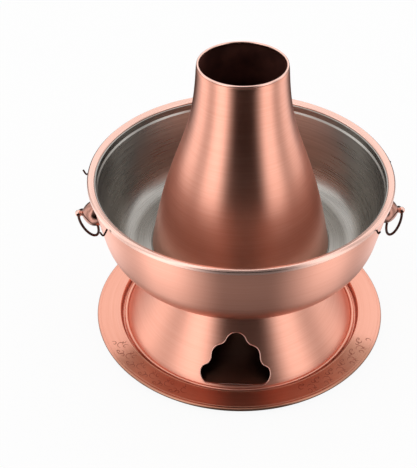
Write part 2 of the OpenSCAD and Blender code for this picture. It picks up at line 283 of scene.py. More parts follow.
class Nodes:
    """Makes the nodes of one material or world, and links them."""

    def __init__(self, tree):
        self.tree = tree
        tree.nodes.clear()

    def add(self, kind, **settings):
        node = self.tree.nodes.new(kind)
        inputs = settings.pop("inputs", {})
        for key, value in settings.items():
            setattr(node, key, value)
        for key, value in inputs.items():
            if isinstance(value, bpy.types.NodeSocket):
                self.tree.links.new(value, node.inputs[key])
            else:
                node.inputs[key].default_value = value
        return node

    def math(self, operation, *values):
        inputs = dict(enumerate(values))
        return self.add("ShaderNodeMath", operation=operation, inputs=inputs).outputs[0]

    def smooth(self, value, start, end, low=0.0, high=1.0):
        """Goes smoothly from low at start to high at end."""
        node = self.add(
            "ShaderNodeMapRange",
            interpolation_type="SMOOTHSTEP",
            inputs={0: value, 1: start, 2: end, 3: low, 4: high},
        )
        return node.outputs[0]

    def lerp(self, factor, a, b):
        """The number between a and b."""
        inputs = {0: factor, 2: a, 3: b}
        return self.add("ShaderNodeMix", data_type="FLOAT", inputs=inputs).outputs[0]

    def mix(self, factor, a, b, blend="MIX"):
        """The colour between a and b, or b blended into a."""
        node = self.add("ShaderNodeMix", data_type="RGBA", blend_type=blend)
        for index, value in ((0, factor), (6, a), (7, b)):
            if isinstance(value, bpy.types.NodeSocket):
                self.tree.links.new(value, node.inputs[index])
            else:
                node.inputs[index].default_value = value
        return node.outputs[2]

    def mix_shader(self, factor, a, b):
        """The node that mixes the shaders of the nodes a and b."""
        inputs = {0: factor, 1: a.outputs[0], 2: b.outputs[0]}
        return self.add("ShaderNodeMixShader", inputs=inputs)

    def noise(self, vector, scale, detail, roughness, w=None):
        """Noise about 0.5, in three dimensions, or four if w is given."""
        inputs = {
            "Vector": vector,
            "Scale": scale,
            "Detail": detail,
            "Roughness": roughness,
        }
        if w is not None:
            inputs["W"] = w
        node = self.add(
            "ShaderNodeTexNoise",
            noise_dimensions="3D" if w is None else "4D",
            inputs=inputs,
        )
        return node.outputs[0]


def rgb(r, g, b):
    """A linear colour from the 0 to 255 values that it should show as."""
    values = []
    for c in (r, g, b):
        c /= 255
        values.append(c / 12.92 if c <= 0.04045 else ((c + 0.055) / 1.055) ** 2.4)
    return (*values, 1.0)


NOISE_SPAN = (0.3, 0.7)  # nearly all of the noise lies between these
LEAST_R = 1e-4  # metres, so that nothing is divided by 0 on the axis


def grain(n, axis, around, along):
    """Noise drawn out round an axis, as a lathe's brush leaves it.

    around is how many patches there are in a radian, along how many lines in
    a metre. Gives the noise, and the object's coordinates for further use."""
    position = n.add("ShaderNodeTexCoord").outputs["Object"]
    xyz = n.add("ShaderNodeSeparateXYZ", inputs={0: position}).outputs
    p, q, s = {"Z": (0, 1, 2), "X": (1, 2, 0)}[axis]
    squares = n.math("ADD", n.math("POWER", xyz[p], 2.0), n.math("POWER", xyz[q], 2.0))
    radius = n.math("MAXIMUM", n.math("SQRT", squares), LEAST_R)
    turn_p = n.math("MULTIPLY", n.math("DIVIDE", xyz[p], radius), around)
    turn_q = n.math("MULTIPLY", n.math("DIVIDE", xyz[q], radius), around)
    height = n.math("MULTIPLY", xyz[s], along)
    place = {0: turn_p, 1: turn_q, 2: height}
    vector = n.add("ShaderNodeCombineXYZ", inputs=place).outputs[0]
    w = n.math("MULTIPLY", radius, along)
    return n.noise(vector, scale=1.0, detail=3.0, roughness=0.6, w=w), position


BRUSH_SPREAD = 0.008  # how far the roughness strays to each side
BRUSH_BUMP = 0.006
BRUSH_DEPTH = 0.0002  # metres
# Painted shade over the front, which stands in for the dark reflection of the bowl and skirt:
# its middle, and the angles from there that it ends between, in degrees
FRONT_SHADE_TURN = 2.0
FRONT_SHADE_END = (56, 68)


def brushed(
    name,
    light,
    dark,
    axis="Z",
    roughness=0.3,
    anisotropy=0.8,
    fine=2200.0,
    painted_front_shade=None,
):
    """Brushed metal, with its grain running round the axis.

    fine is how many lines the grain has in a metre. painted_front_shade is a
    colour that darkens the metal over the front, to either side of -Y: painted
    shade that stands in for the dark reflection there."""
    material = bpy.data.materials.new(name)
    material.use_nodes = True
    n = Nodes(material.node_tree)
    lines, position = grain(n, axis, around=2.5, along=fine)
    bands, _ = grain(n, axis, around=1.6, along=fine / 3)
    patches = n.noise(position, scale=9.0, detail=2.0, roughness=0.5)
    tint = n.math(
        "ADD", n.math("MULTIPLY", bands, 0.7), n.math("MULTIPLY", patches, 0.3)
    )
    colour = n.mix(n.smooth(tint, *NOISE_SPAN), dark, light)
    # Painted shade: the front is darkened to stand in for the dark reflection of the bowl and
    # skirt
    if painted_front_shade:
        x, y, _ = n.add("ShaderNodeSeparateXYZ", inputs={0: position}).outputs
        turn = n.math("DEGREES", n.math("ARCTAN2", x, n.math("MULTIPLY", y, -1.0)))
        off = n.math("ABSOLUTE", n.math("SUBTRACT", turn, FRONT_SHADE_TURN))
        front = n.smooth(off, *FRONT_SHADE_END, 1.0, 0.0)
        colour = n.mix(front, colour, n.mix(1.0, colour, painted_front_shade, "MULTIPLY"))
    strays = [
        n.smooth(value, *NOISE_SPAN, -BRUSH_SPREAD, BRUSH_SPREAD)
        for value in (bands, patches)
    ]
    rough = n.math("ADD", n.math("ADD", strays[0], roughness), strays[1])
    height = n.add(
        "ShaderNodeBump",
        inputs={"Strength": BRUSH_BUMP, "Distance": BRUSH_DEPTH, "Height": lines},
    )
    tangent = n.add("ShaderNodeTangent", direction_type="RADIAL", axis=axis)
    shader = n.add(
        "ShaderNodeBsdfPrincipled",
        inputs={
            "Base Color": colour,
            "Metallic": 1.0,
            "Roughness": rough,
            "Anisotropic": anisotropy,
            # A quarter turn, so that the highlights stretch across the grain
            "Anisotropic Rotation": 0.25,
            "Tangent": tangent.outputs[0],
            "Normal": height.outputs[0],
        },
    )
    n.add("ShaderNodeOutputMaterial", inputs={0: shader.outputs[0]})
    return material


PLAIN_SPREAD = 0.1
PLAIN_DEPTH = 0.0003  # metres
PLAIN_FINER = 14  # how many times finer the bump is than the mottling


def plain(name, light, dark, metallic, roughness, scale, bump=0.2):
    """A surface with no grain direction: mottled colour, roughness and bump."""
    material = bpy.data.materials.new(name)
    material.use_nodes = True
    n = Nodes(material.node_tree)
    position = n.add("ShaderNodeTexCoord").outputs["Object"]
    coarse = n.noise(position, scale, detail=4.0, roughness=0.6)
    fine = n.noise(position, scale * PLAIN_FINER, detail=3.0, roughness=0.6)
    colour = n.mix(n.smooth(coarse, *NOISE_SPAN), dark, light)
    ends = (roughness - PLAIN_SPREAD, roughness + PLAIN_SPREAD)
    rough = n.smooth(coarse, *NOISE_SPAN, *ends)
    height = n.add(
        "ShaderNodeBump",
        inputs={"Strength": bump, "Distance": PLAIN_DEPTH, "Height": fine},
    )
    shader = n.add(
        "ShaderNodeBsdfPrincipled",
        inputs={
            "Base Color": colour,
            "Metallic": metallic,
            "Roughness": rough,
            "Normal": height.outputs[0],
        },
    )
    n.add("ShaderNodeOutputMaterial", inputs={0: shader.outputs[0]})
    return material


COPPER_LIGHT = rgb(238, 174, 153)
COPPER_DARK = rgb(230, 162, 140)
copper = brushed("copper_brushed", COPPER_LIGHT, COPPER_DARK)
# The tray's front gets painted shade, which stands in for the dark reflection of the bowl's
# underside and skirt
copper_tray = brushed(
    "copper_brushed_tray", COPPER_LIGHT, COPPER_DARK, painted_front_shade=(0.62, 0.62, 0.57, 1.0)
)
# Painted highlight: a paler copy of the copper for the rim, the chimney's lip, the balls and the
# vent's edge, which is also a little smoother
copper_painted_highlight = brushed(
    "copper_polished_painted_highlight",
    rgb(246, 204, 190),
    rgb(240, 194, 179),
    roughness=0.26,
    anisotropy=0.6,
)
# Painted shade: a darker copy of the copper for the handles' domes, standing in for the shade
# and dark reflections on them
copper_side_painted_shade = brushed(
    "copper_brushed_side_painted_shade",
    rgb(190, 142, 128),
    rgb(168, 120, 106),
    axis="X",
    roughness=0.2,
    anisotropy=0.0,
    fine=2500.0,
)
copper_inside = plain(
    "copper_unpolished",
    rgb(104, 58, 48),
    rgb(74, 40, 34),
    metallic=0.5,
    roughness=0.55,
    scale=40.0,
)
# A darker copper for the skirt's inside and for its faces that look down
copper_dark_inside = plain(
    "copper_dark_inside",
    rgb(94, 54, 47),
    rgb(62, 36, 31),
    metallic=0.45,
    roughness=0.55,
    scale=40.0,
)
steel = brushed(
    "steel_brushed", rgb(184, 180, 174), rgb(162, 158, 153), roughness=0.28
)
dark_wire = plain(
    "dark_wire",
    rgb(84, 56, 48),
    rgb(58, 38, 34),
    metallic=1.0,
    roughness=0.34,
    scale=160.0,
    bump=0.1,
)
iron = plain(
    "cast_iron",
    rgb(52, 50, 49),
    rgb(34, 33, 33),
    metallic=0.6,
    roughness=0.7,
    scale=120.0,
    bump=0.7,
)
etched = plain(
    "copper_etched",
    rgb(172, 112, 94),
    rgb(146, 92, 76),
    metallic=1.0,
    roughness=0.42,
    scale=300.0,
)


# ---- Tray -------------------------------------------------------------------

TRAY_BEAD_R = 2
WELL_R = BRIM_INNER_R - 1.6
BRIM_TOP_Z = BRIM_Z - 0.25  # the brim's face, below the curled edge's top

# The scroll: groups of three curls, one group every CURL_PITCH degrees from
# CURL_START on, out to each side of the front
CURL_GROUPS = 11
CURL_START = 25
CURL_PITCH = 3.9
# Size, degrees further round, distance out from the middle, and first angle
CURLS = ((5.4, 0, 2.2, 0), (3.6, 1.9, -4.6, 2.2), (2.6, 1, 6, 4))
CURL_POINTS = 34
CURL_WIND = (0.6, 4.9)  # where a curl starts and how far it winds, in radians
CURL_TIGHTENS = 0.82
ETCH_WIDTH = 0.9
ETCH_LIFT = 0.04  # how far the lines lie above the brim


def scroll(centre_r, turn, size, twist, mirror):
    """Points along one curl of the brim's scroll, as angle round and radius."""
    points = []
    for i in range(CURL_POINTS):
        t = i / (CURL_POINTS - 1)
        a = twist + mirror * (CURL_WIND[0] + CURL_WIND[1] * t)
        reach = size * (1 - CURL_TIGHTENS * t)
        around = turn + reach * math.cos(a) / centre_r
        points.append((around, centre_r + reach * math.sin(a)))
    return points


def etched_line(bm, points, height):
    """A flat line on the brim, thinner at its ends, in the second material."""
    edges = []
    n = len(points)
    for i, (a, r) in enumerate(points):
        after_a, after_r = points[min(i + 1, n - 1)]
        before_a, before_r = points[max(i - 1, 0)]
        along = Vector(((after_a - before_a) * r, after_r - before_r)).normalized()
        # A third as wide at the ends as in the middle
        half = ETCH_WIDTH / 2 * (0.35 + 0.65 * math.sin(math.pi * (i + 0.5) / n))
        pair = []
        for side in (-1, 1):
            rr = r + side * half * along.x
            aa = a - side * half * along.y / r
            place = (rr * math.sin(aa) * MM, -rr * math.cos(aa) * MM, height * MM)
            pair.append(bm.verts.new(place))
        edges.append(pair)
    for low, high in zip(edges, edges[1:]):
        face = bm.faces.new((low[0], low[1], high[1], high[0]))
        face.material_index = 1


def etch_brim(bm):
    """Scrolls on the brim to the left and right of the front, as in old work."""
    middle_r = (BRIM_INNER_R + TRAY_R) / 2 - 0.4
    for side in (-1, 1):
        for k in range(CURL_GROUPS):
            turn = side * math.radians(CURL_START + CURL_PITCH * k)
            flip = 1 if k % 2 else -1
            for size, shift, out, twist in CURLS:
                line = scroll(
                    middle_r + flip * out,
                    turn + side * math.radians(shift),
                    size,
                    twist + (math.pi if k % 2 else 0),
                    side * flip,
                )
                etched_line(bm, line, BRIM_TOP_Z + ETCH_LIFT)


def make_tray():
    bead = (TRAY_R - TRAY_BEAD_R, BRIM_Z - TRAY_BEAD_R)
    top = BRIM_TOP_Z
    upper = rounded(
        [
            (0, SHEET, 0),
            (WELL_R - 1, SHEET, 1.6),
            (WELL_R + 0.3, 2.2, 0.6),
            (BRIM_INNER_R, top - 0.8, 0.6),
            (BRIM_INNER_R + 0.4, top + 0.2, 0.5),
            (BRIM_INNER_R + 1.4, top + 0.25, 0.5),
            (BRIM_INNER_R + 2.1, top, 0.4),
            (TRAY_R - 2 * TRAY_BEAD_R - 0.3, top, 0.4),
            (TRAY_R - 2 * TRAY_BEAD_R + 0.4, top - 0.25, 0.3),
            (0, -1, 0),
        ]
    )[:-1]
    edge = arc(bead, TRAY_BEAD_R, 122, -178, steps=28)
    lower = rounded(
        [
            (bead[0] - TRAY_BEAD_R, bead[1], 0),
            (bead[0] - TRAY_BEAD_R - 0.2, top - SHEET, 0.4),
            (BRIM_INNER_R + SHEET + 1.2, top - SHEET, 1.2),
            (WELL_R + 1.3, 0.9, 0.9),
            (WELL_R, 0, 0.6),
            (0, 0, 0),
        ]
    )
    bm = turned(upper + edge + lower, closed=False)
    etch_brim(bm)
    mesh = finish_mesh(bm, "tray_plate")
    o = add_object("tray_plate", mesh, "tray", [copper_tray, etched])
    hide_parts("tray")


make_tray()


# ---- Pedestal ---------------------------------------------------------------

SKIRT_FOOT_Z = 3.4
SKIRT = [
    (SKIRT_FOOT_R, SKIRT_FOOT_Z),
    (117, 17),
    (91, 50),
    (SKIRT_NECK_R, BOWL_LOW_Z),
]
FLANGE_Z = BOWL_LOW_Z - SHEET
REST_GAP = 0.1  # between pieces that lie on each other

# Half of the vent's outline: three round lobes with hollow fillets between
LOBES = [((29.5, 13.3), 7.5), ((13.8, 28.8), 11.9), ((0, 41.8), 11)]
VENT_FILLETS = (9.5, 10.4)
VENT_EDGE_R = 0.45
VENT_EDGE_STEP = 4e-4  # metres, at least, between the points of the edge's line
# The vent is cut through the front only, between these metres along Y
VENT_CUT = (-0.15, -0.06)


def fillet_centre(a, ra, b, rb, r):
    """Centre of the circle touching both circles, right of the way a to b."""
    a, b = Vector(a), Vector(b)
    length = (b - a).length
    u = (b - a) / length
    along = ((ra + r) ** 2 - (rb + r) ** 2 + length**2) / (2 * length)
    across = math.sqrt((ra + r) ** 2 - along**2)
    c = a + along * u + across * Vector((u.y, -u.x))
    return c.x, c.y


def heading(start, end):
    """The direction from start to end, in degrees."""
    return math.degrees(math.atan2(end[1] - start[1], end[0] - start[0])) % 360


def vent_outline(grow=0.0):
    """The vent's outline, or one that runs outside it by grow."""
    half = []
    angle = -90.0
    for this, following, fillet in zip(LOBES, LOBES[1:], VENT_FILLETS):
        centre, radius = this
        after, after_r = following
        hollow = fillet_centre(centre, radius, after, after_r, fillet)
        half += arc(centre, radius + grow, angle, heading(centre, hollow), 12)
        ends = (heading(hollow, centre), heading(hollow, after))
        half += arc(hollow, fillet - grow, *ends, 9)
        angle = heading(after, hollow)
    top, top_r = LOBES[-1]
    half += arc(top, top_r + grow, angle, 90, 10)
    return half + [(-x, z) for x, z in reversed(half)]


def cutter_object(bm, name, materials):
    """An object of the closed bm, for cut() to take out of another."""
    bmesh.ops.recalc_face_normals(bm, faces=bm.faces)
    mesh = bpy.data.meshes.new(name)
    bm.to_mesh(mesh)
    bm.free()
    return link_object(name, mesh, materials)


def vent_cutter(materials):
    """A prism of the vent's outline, standing through the front of the skirt."""
    bm = bmesh.new()
    near, far = [], []
    turn = Matrix.Rotation(-VENT_TURN, 4, "Z")
    outline = vent_outline()
    # Where two arcs meet, the outline has the same point twice
    kept = [p for i, p in enumerate(outline) if math.dist(p, outline[i - 1]) > 1e-3]
    for x, z in kept:
        near.append(bm.verts.new(turn @ Vector((x * MM, VENT_CUT[0], z * MM))))
        far.append(bm.verts.new(turn @ Vector((x * MM, VENT_CUT[1], z * MM))))
    n = len(kept)
    for i in range(n):
        j = (i + 1) % n
        bm.faces.new((near[i], near[j], far[j], far[i]))
    bm.faces.new(near)
    bm.faces.new(reversed(far))
    return cutter_object(bm, "vent_cutter", materials)


def cut(o, cutter):
    """Takes cutter out of o, for good."""
    modifier = o.modifiers.new("cut", "BOOLEAN")
    modifier.operation = "DIFFERENCE"
    modifier.solver = "EXACT"
    modifier.object = cutter
    graph = bpy.context.evaluated_depsgraph_get()
    mesh = bpy.data.meshes.new_from_object(o.evaluated_get(graph))
    o.modifiers.clear()
    old = o.data
    o.data = mesh
    bpy.data.meshes.remove(old)
    bpy.data.objects.remove(cutter)
    mesh.set_sharp_from_angle(angle=SHARP)


def add_vent_edge(mesh, outer):
    """Adds the fine turned edge that runs round the vent, to the skirt's mesh.

    outer is the skirt's outline, which the edge lies on."""
    turn = Matrix.Rotation(-VENT_TURN, 4, "Z")
    heights = [p[1] for p in outer]
    line = []
    for x, z in vent_outline(VENT_EDGE_R):
        k = max(1, next((i for i, h in enumerate(heights) if h > z), 1))
        (r0, z0), (r1, z1) = outer[k - 1], outer[k]
        r = r0 + (r1 - r0) * (z - z0) / (z1 - z0)
        p = turn @ Vector((x * MM, -math.sqrt(r * r - x * x) * MM, z * MM))
        if not line or (p - line[-1]).length > VENT_EDGE_STEP:
            line.append(p)
    if (line[0] - line[-1]).length < VENT_EDGE_STEP:
        line.pop()
    edge = tube(line, VENT_EDGE_R * MM, sides=12, closed=True)
    bmesh.ops.recalc_face_normals(edge, faces=edge.faces)
    for f in edge.faces:
        f.material_index = 2
        f.smooth = True
    edge.from_mesh(mesh)
    edge.to_mesh(mesh)
    edge.free()


def make_pedestal():
    outer = curve(SKIRT, steps=60)
    inner = [p for p in curve(SKIRT, SHEET, 60) if p[1] < FLANGE_Z - 1]
    foot_z = SKIRT_FOOT_Z - SHEET
    neck_z = BOWL_LOW_Z - REST_GAP
    outline = (
        [(SKIRT_FOOT_R - SHEET, foot_z), (SKIRT_FOOT_R, foot_z)]
        + outer[:-1]
        + [(SKIRT_NECK_R - 0.4, neck_z), (NECK_HOLE_R, neck_z)]
        + [(NECK_HOLE_R, FLANGE_Z), (SKIRT_NECK_R - 0.9, FLANGE_Z)]
        + inner[::-1]
    )
    outline = [p for p in outline if p[0] <= SKIRT_FOOT_R]
    bm = turned(outline)
    bmesh.ops.recalc_face_normals(bm, faces=bm.faces)
    mark_inside(bm)
    for f in bm.faces:
        if f.normal.z < DOWNWARD:
            f.material_index = 1
    materials = [copper, copper_dark_inside, copper_painted_highlight]
    mesh = finish_mesh(bm, "pedestal_skirt")
    o = add_object("pedestal_skirt", mesh, "pot", materials)
    cut(o, vent_cutter(materials))
    add_vent_edge(o.data, outer)
    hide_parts("pedestal")


def make_foot_bead():
    # The bead's inner side stops at the skirt, as in the frame
    circle = arc(BEAD_CENTRE, BEAD_R, 180, -180, steps=48)[:-1]
    outline = [p for p in circle if p[0] >= SKIRT_FOOT_R]
    gaps = [math.dist(p, outline[i - 1]) for i, p in enumerate(outline)]
    start = gaps.index(max(gaps))
    outline = outline[start:] + outline[:start]
    mesh = finish_mesh(turned(outline), "foot_bead")
    o = add_object("foot_bead", mesh, "pot", [copper])
    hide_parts("pedestal_foot_ring")


make_pedestal()
make_foot_bead()


# ---- Bowl -------------------------------------------------------------------

WALL_TOP = (RIM_R - 1.7, RIM_Z - 7)
WALL_BOTTOM = (147.5, 134.5)
BOWL_CURVE = [WALL_BOTTOM, (144, 118), (134, 102), (108, 95.5)]
BOWL_UNDER = [(108, 95.5), (97.5, 92.9), (88, BOWL_LOW_Z), (80, BOWL_LOW_Z)]
DOUBLE_WALL = 6.5
LINER_SHEET = 1
LINER_CURVE = [
    (WALL_BOTTOM[0] - SHEET - DOUBLE_WALL, 132.5),
    (137.5, 118),
    (130, PAN_FLOOR_Z),
    (112, PAN_FLOOR_Z),
]
LINER_WALL_R = RIM_R - RIM_BAND_W - 0.2
LINER_STEP = 1.5
LINER_BEAD_R = 1.3  # where the liner turns up against the chimney's foot


def make_bowl_shell():
    neck = NECK_HOLE_R + 2
    outer = [(WALL_TOP[0], SHELL_TOP_Z), WALL_TOP]
    outer += curve(BOWL_CURVE) + curve(BOWL_UNDER, steps=12)[1:]
    inner = curve(BOWL_CURVE, -SHEET) + curve(BOWL_UNDER, -SHEET, steps=12)[1:]
    outline = (
        outer
        + [(neck, BOWL_LOW_Z), (neck, BOWL_LOW_Z + SHEET)]
        + inner[::-1]
        + [(WALL_TOP[0] - SHEET, WALL_TOP[1]), (WALL_TOP[0] - SHEET, SHELL_TOP_Z)]
    )
    mesh = finish_mesh(turned(outline), "bowl_outside")
    o = add_object("bowl_outside", mesh, "pot", [copper])
    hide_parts("bowl_shell")


def make_liner():
    wall_r = LINER_WALL_R
    step_r = wall_r - LINER_STEP
    flange = (RIM_R - 1.8, RIM_Z - 3.1)
    foot_r = CHIMNEY_FOOT_R + REST_GAP
    outer = [flange, (flange[0], flange[1] - LINER_SHEET)]
    outer += [(wall_r, RIM_Z - 5.3), (wall_r, RIM_Z - 11), (step_r, RIM_Z - 13)]
    outer += curve(LINER_CURVE)
    outer += [(foot_r, PAN_FLOOR_Z)]
    bead = arc((foot_r, PAN_FLOOR_Z + LINER_SHEET), LINER_BEAD_R, 90, 0, steps=6)
    inner = curve(LINER_CURVE, -LINER_SHEET)[::-1]
    upper = rounded(
        [
            (inner[-1][0], inner[-1][1], 0),
            (step_r - LINER_SHEET, RIM_Z - 13, 1.5),
            (wall_r - LINER_SHEET, RIM_Z - 11, 1.2),
            (wall_r - LINER_SHEET, RIM_Z - 4.6, 0.5),
            (wall_r - 0.5, RIM_Z - 4.2, 0.3),
            (flange[0], flange[1], 0),
        ]
    )[1:-1]
    outline = outer + bead + inner + upper
    mesh = finish_mesh(turned(outline), "pan_liner")
    o = add_object("pan_liner", mesh, "pot", [steel])
    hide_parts("bowl_liner")


def make_rim():
    low, top = RIM_LOW_Z, RIM_Z
    inner = RIM_R - RIM_BAND_W
    corners = [
        (RIM_R - 1.4, low, 0.2),
        (RIM_R - 0.4, low, 0.4),
        (RIM_R, low + 0.7, 0.4),
        (RIM_R, top - 1.7, 1.4),
        (RIM_R - 1.9, top + 0.35, 1.6),
        (inner + 0.8, top - 2.2, 1.6),
        (inner, top - RIM_BAND_DROP + 0.1, 0.5),
        (inner, top - 3.9, 0.3),
        (inner + 0.6, top - 4, 0.2),
        (RIM_R - 5, top - 3.3, 0.5),
        (RIM_R - 1.6, top - 2.5, 0.5),
        (RIM_R - 1.4, top - 3, 0.3),
    ]
    outline = [(r, min(z, top)) for r, z in rounded(corners, steps=8)]
    mesh = finish_mesh(turned(outline), "rim_band", sharp=math.radians(50))
    o = add_object("rim_band", mesh, "pot", [copper_painted_highlight])
    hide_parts("rim_ring")


make_bowl_shell()
make_liner()
make_rim()


# ---- Chimney ----------------------------------------------------------------

LIP_R = 1.2
LIP_CENTRE = (CHIMNEY_TOP_R - 1.8, MOUTH_Z - LIP_R)
# The tube's last few millimetres turn in a little, up to the lip: distance out
# from the tube's radius, and distance below the mouth
MOUTH_OUTER = [(-1, 2 * LIP_R), (-0.5, 3.2), (-0.15, 4.4)]
MOUTH_INNER = [(-1.4, 4.2), (-1.9, 3), (-2.2, 2 * LIP_R)]
CHIMNEY = [
    (CHIMNEY_TOP_R, MOUTH_Z - 6),
    (CHIMNEY_TOP_R + 5.2, MOUTH_Z - 96.5),
    (CHIMNEY_FOOT_R - 22.6, MOUTH_Z - 91.5),
    (CHIMNEY_FOOT_R, PAN_FLOOR_Z + 2),
]


def make_chimney():
    outer = (
        [(CHIMNEY_TOP_R + r, MOUTH_Z - drop) for r, drop in MOUTH_OUTER]
        + curve(CHIMNEY, steps=80)
        + [(CHIMNEY_FOOT_R, PAN_FLOOR_Z)]
    )
    inner = (
        [(CHIMNEY_FOOT_R - SHEET, PAN_FLOOR_Z)]
        + curve(CHIMNEY, -SHEET, steps=80)[::-1]
        + [(CHIMNEY_TOP_R + r, MOUTH_Z - drop) for r, drop in MOUTH_INNER]
    )
    bm = turned(outer + inner)
    bmesh.ops.recalc_face_normals(bm, faces=bm.faces)
    mark_inside(bm)
    mesh = finish_mesh(bm, "chimney_tube")
    o = add_object("chimney_tube", mesh, "pot", [copper, copper_inside])
    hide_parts("chimney")
    bm = turned(arc(LIP_CENTRE, LIP_R, 0, 360, steps=40)[:-1])
    mesh = finish_mesh(bm, "chimney_lip")
    lip = add_object("chimney_lip", mesh, "pot", [copper_painted_highlight])
    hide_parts("chimney_lip_ring")


make_chimney()


# ---- Handles ----------------------------------------------------------------

HANDLE_Z = EYE[2]
EYE_R = EYE[0]
BALL_R = 3.7
EYE_HOLE_R = 2.1
STUD_R = 2
STUD_START = 15  # how far out from the wall the stud's visible mesh begins
BOSS_SHEET = (0.7, 1)  # how much shorter and narrower the dome is inside
WALL_CLEARANCE = 0.15  # between the domes and the bowl's wall
WALL_SLOPE = (WALL_TOP[0] - WALL_BOTTOM[0]) / (WALL_TOP[1] - WALL_BOTTOM[1])
WALL_AT_HANDLE = WALL_BOTTOM[0] + (HANDLE_Z - WALL_BOTTOM[1]) * WALL_SLOPE

# Half outline of the dome: distance out from the wall, and radius
DOME_REACH = 20.4
DOME = [
    (-6, 12.3),
    (0, 12.7),
    (3, 13.4),
    (6.5, 13.7),
    (9.8, 13.4),
    (13, 12),
    (16, 9.6),
    (18.4, 6.7),
    (19.8, 4.3),
    (DOME_REACH, 2.6),
]


def smooth_line(points, steps=6):
    """A smooth line through points (Catmull-Rom)."""
    line = []
    n = len(points)
    for i in range(n - 1):
        p = [Vector(points[max(0, min(n - 1, i + k))]) for k in (-1, 0, 1, 2)]
        for s in range(steps):
            t = s / steps
            q = (
                2 * p[1]
                + (p[2] - p[0]) * t
                + (2 * p[0] - 5 * p[1] + 4 * p[2] - p[3]) * t * t
                + (3 * p[1] - p[0] - 3 * p[2] + p[3]) * t**3
            ) / 2
            line.append((q.x, q.y))
    return line + [tuple(points[-1])]


def along_x(bm, side):
    """Turns a bmesh made round Z so that its height runs out along X."""
    spin = Matrix.Rotation(math.radians(90), 4, "Y")
    flip = Matrix.Scale(side, 4, Vector((1, 0, 0)))
    lift = Matrix.Translation(Vector((0, 0, HANDLE_Z * MM)))
    bm.transform(lift @ flip @ spin)
    return bm


def make_boss(side, word):
    outer = smooth_line(DOME)
    inner = [(d - BOSS_SHEET[0], r - BOSS_SHEET[1]) for d, r in outer if r > 4.5]
    tip = WALL_AT_HANDLE + DOME_REACH
    hole_r = STUD_R + REST_GAP
    outline = [(r, WALL_AT_HANDLE + d) for d, r in outer]
    outline += [(hole_r, tip), (hole_r, tip - 1.4)]
    outline += [(r, WALL_AT_HANDLE + d) for d, r in reversed(inner)]
    bm = along_x(turned(outline, around=96), side)
    name = "handle_dome_" + word
    mesh = finish_mesh(bm, name)
    o = add_object(name, mesh, "pot", [copper_side_painted_shade])
    cut(o, wall_block())
    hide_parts("handle_boss_" + word)


def wall_block():
    """The space inside the bowl's outer wall, which the domes stop at."""
    low, high = WALL_BOTTOM[1] - 14, RIM_Z
    outline = [
        (0, low),
        (WALL_AT_HANDLE + (low - HANDLE_Z) * WALL_SLOPE + WALL_CLEARANCE, low),
        (WALL_AT_HANDLE + (high - HANDLE_Z) * WALL_SLOPE + WALL_CLEARANCE, high),
        (0, high),
    ]
    return cutter_object(turned(outline, closed=False), "wall_block", [copper_side_painted_shade])


def make_eye(side, word):
    start = WALL_AT_HANDLE + STUD_START
    collar = WALL_AT_HANDLE + DOME_REACH + REST_GAP
    # The stud meets the ball this far in from the ball's centre
    reach = math.sqrt(BALL_R**2 - STUD_R**2)
    neck = rounded(
        [
            (0, start, 0),
            (STUD_R, start, 0),
            (STUD_R, collar, 0),
            (3, collar, 0.3),
            (3.2, collar + 0.4, 0.3),
            (2.6, collar + 0.8, 0.2),
            (STUD_R, collar + 1, 0.2),
            (STUD_R, EYE_R - reach, 0),
            (0, EYE_R - reach, 0),
        ]
    )
    meets = math.degrees(-math.acos(STUD_R / BALL_R))
    ball_end = arc((0, EYE_R), BALL_R, meets, 90, steps=20)
    bm = along_x(turned(neck[:-2] + ball_end, around=64, closed=False), side)
    name = "handle_ball_" + word
    o = add_object(name, finish_mesh(bm, name), "pot", [copper_painted_highlight])
    hole = [(0, -10), (EYE_HOLE_R, -10), (EYE_HOLE_R, 10), (0, 10)]
    drill = turned(hole, around=48, closed=False)
    place = Matrix.Translation(Vector((side * EYE_R * MM, 0, HANDLE_Z * MM)))
    drill.transform(place @ Matrix.Rotation(math.radians(90), 4, "X"))
    cut(o, cutter_object(drill, "eye_cutter", [copper_painted_highlight]))
    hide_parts("handle_eye_" + word)


def make_ring(side, word):
    lean = RING_LEAN[word]
    up = Vector((side * math.sin(lean), 0, math.cos(lean)))
    along = Vector((0, 1, 0))
    centre = Vector((side * EYE_R, 0, HANDLE_Z)) * MM - up * RING_R * MM
    points = []
    for i in range(RING_STEPS):
        a = 2 * math.pi * i / RING_STEPS
        points.append(centre + RING_R * MM * (math.cos(a) * up + math.sin(a) * along))
    name = "ring_wire_" + word
    mesh = finish_mesh(tube(points, WIRE_R * MM, closed=True), name)
    o = add_object(name, mesh, "ring_" + word, [dark_wire])
    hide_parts("handle_ring_" + word)


for side, word in ((-1, "left"), (1, "right")):
    make_boss(side, word)
    make_eye(side, word)
    make_ring(side, word)


# ---- Small hooks below the rim ----------------------------------------------

# Where each hook stands round the bowl, in degrees, and how large it is
HOOKS = ((-35, 0.6), (10, 0.7), (174, 1.3), (212.5, 1.2))
HOOK_WIRE_R = 0.95
# From the top of the bowl's wall: out, and up. The line grows with the hook.
HOOK_ROOT = (-1.2, -0.6)
HOOK_START = (0.8, -0.6)
HOOK_LINE = [(0, 0), (4.6, -3.8), (6.4, 0.8)]


